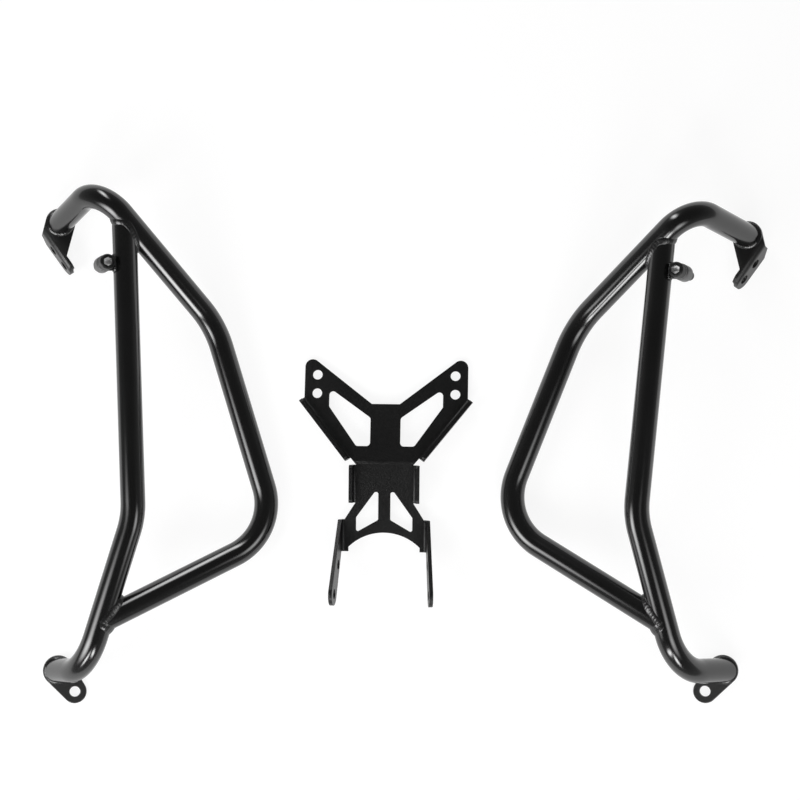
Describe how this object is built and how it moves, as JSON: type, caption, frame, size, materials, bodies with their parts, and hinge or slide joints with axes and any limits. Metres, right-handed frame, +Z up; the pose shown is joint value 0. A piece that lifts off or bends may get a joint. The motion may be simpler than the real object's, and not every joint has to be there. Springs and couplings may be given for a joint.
{
  "type": "motorcycle crash bars",
  "caption": "Bent-tube engine guards for a motorcycle: a left and a right welded bar with mounting tabs, and a folded sheet bracket that joins them in the middle.",
  "frame": {"origin": "on the floor, at the centre of the set's bounding box", "axes": "+X across the set from the left bar to the right bar, +Y from the lower tabs to the upper bends, +Z up off the floor"},
  "size_m": [0.7778, 0.5438, 0.1065],
  "materials": {
    "tube_coat": "semi-gloss black powder coat",
    "bracket_coat": "fine-textured matt black powder coat",
    "spacer_metal": "dark satin",
    "screw_steel": "black oxide"
  },
  "bodies": {
    "root": {"centre_bracket": "bracket_coat", "left_cap_screw": "screw_steel", "left_loop_tube": "tube_coat", "left_lower_tab": "tube_coat", "left_spacer": "spacer_metal", "left_stay_tab": "tube_coat", "left_upper_mount": "tube_coat", "left_upright_tube": "tube_coat", "right_cap_screw": "screw_steel", "right_loop_tube": "tube_coat", "right_lower_tab": "tube_coat", "right_spacer": "spacer_metal", "right_stay_tab": "tube_coat", "right_upper_mount": "tube_coat", "right_upright_tube": "tube_coat"}
  },
  "joints": []
}
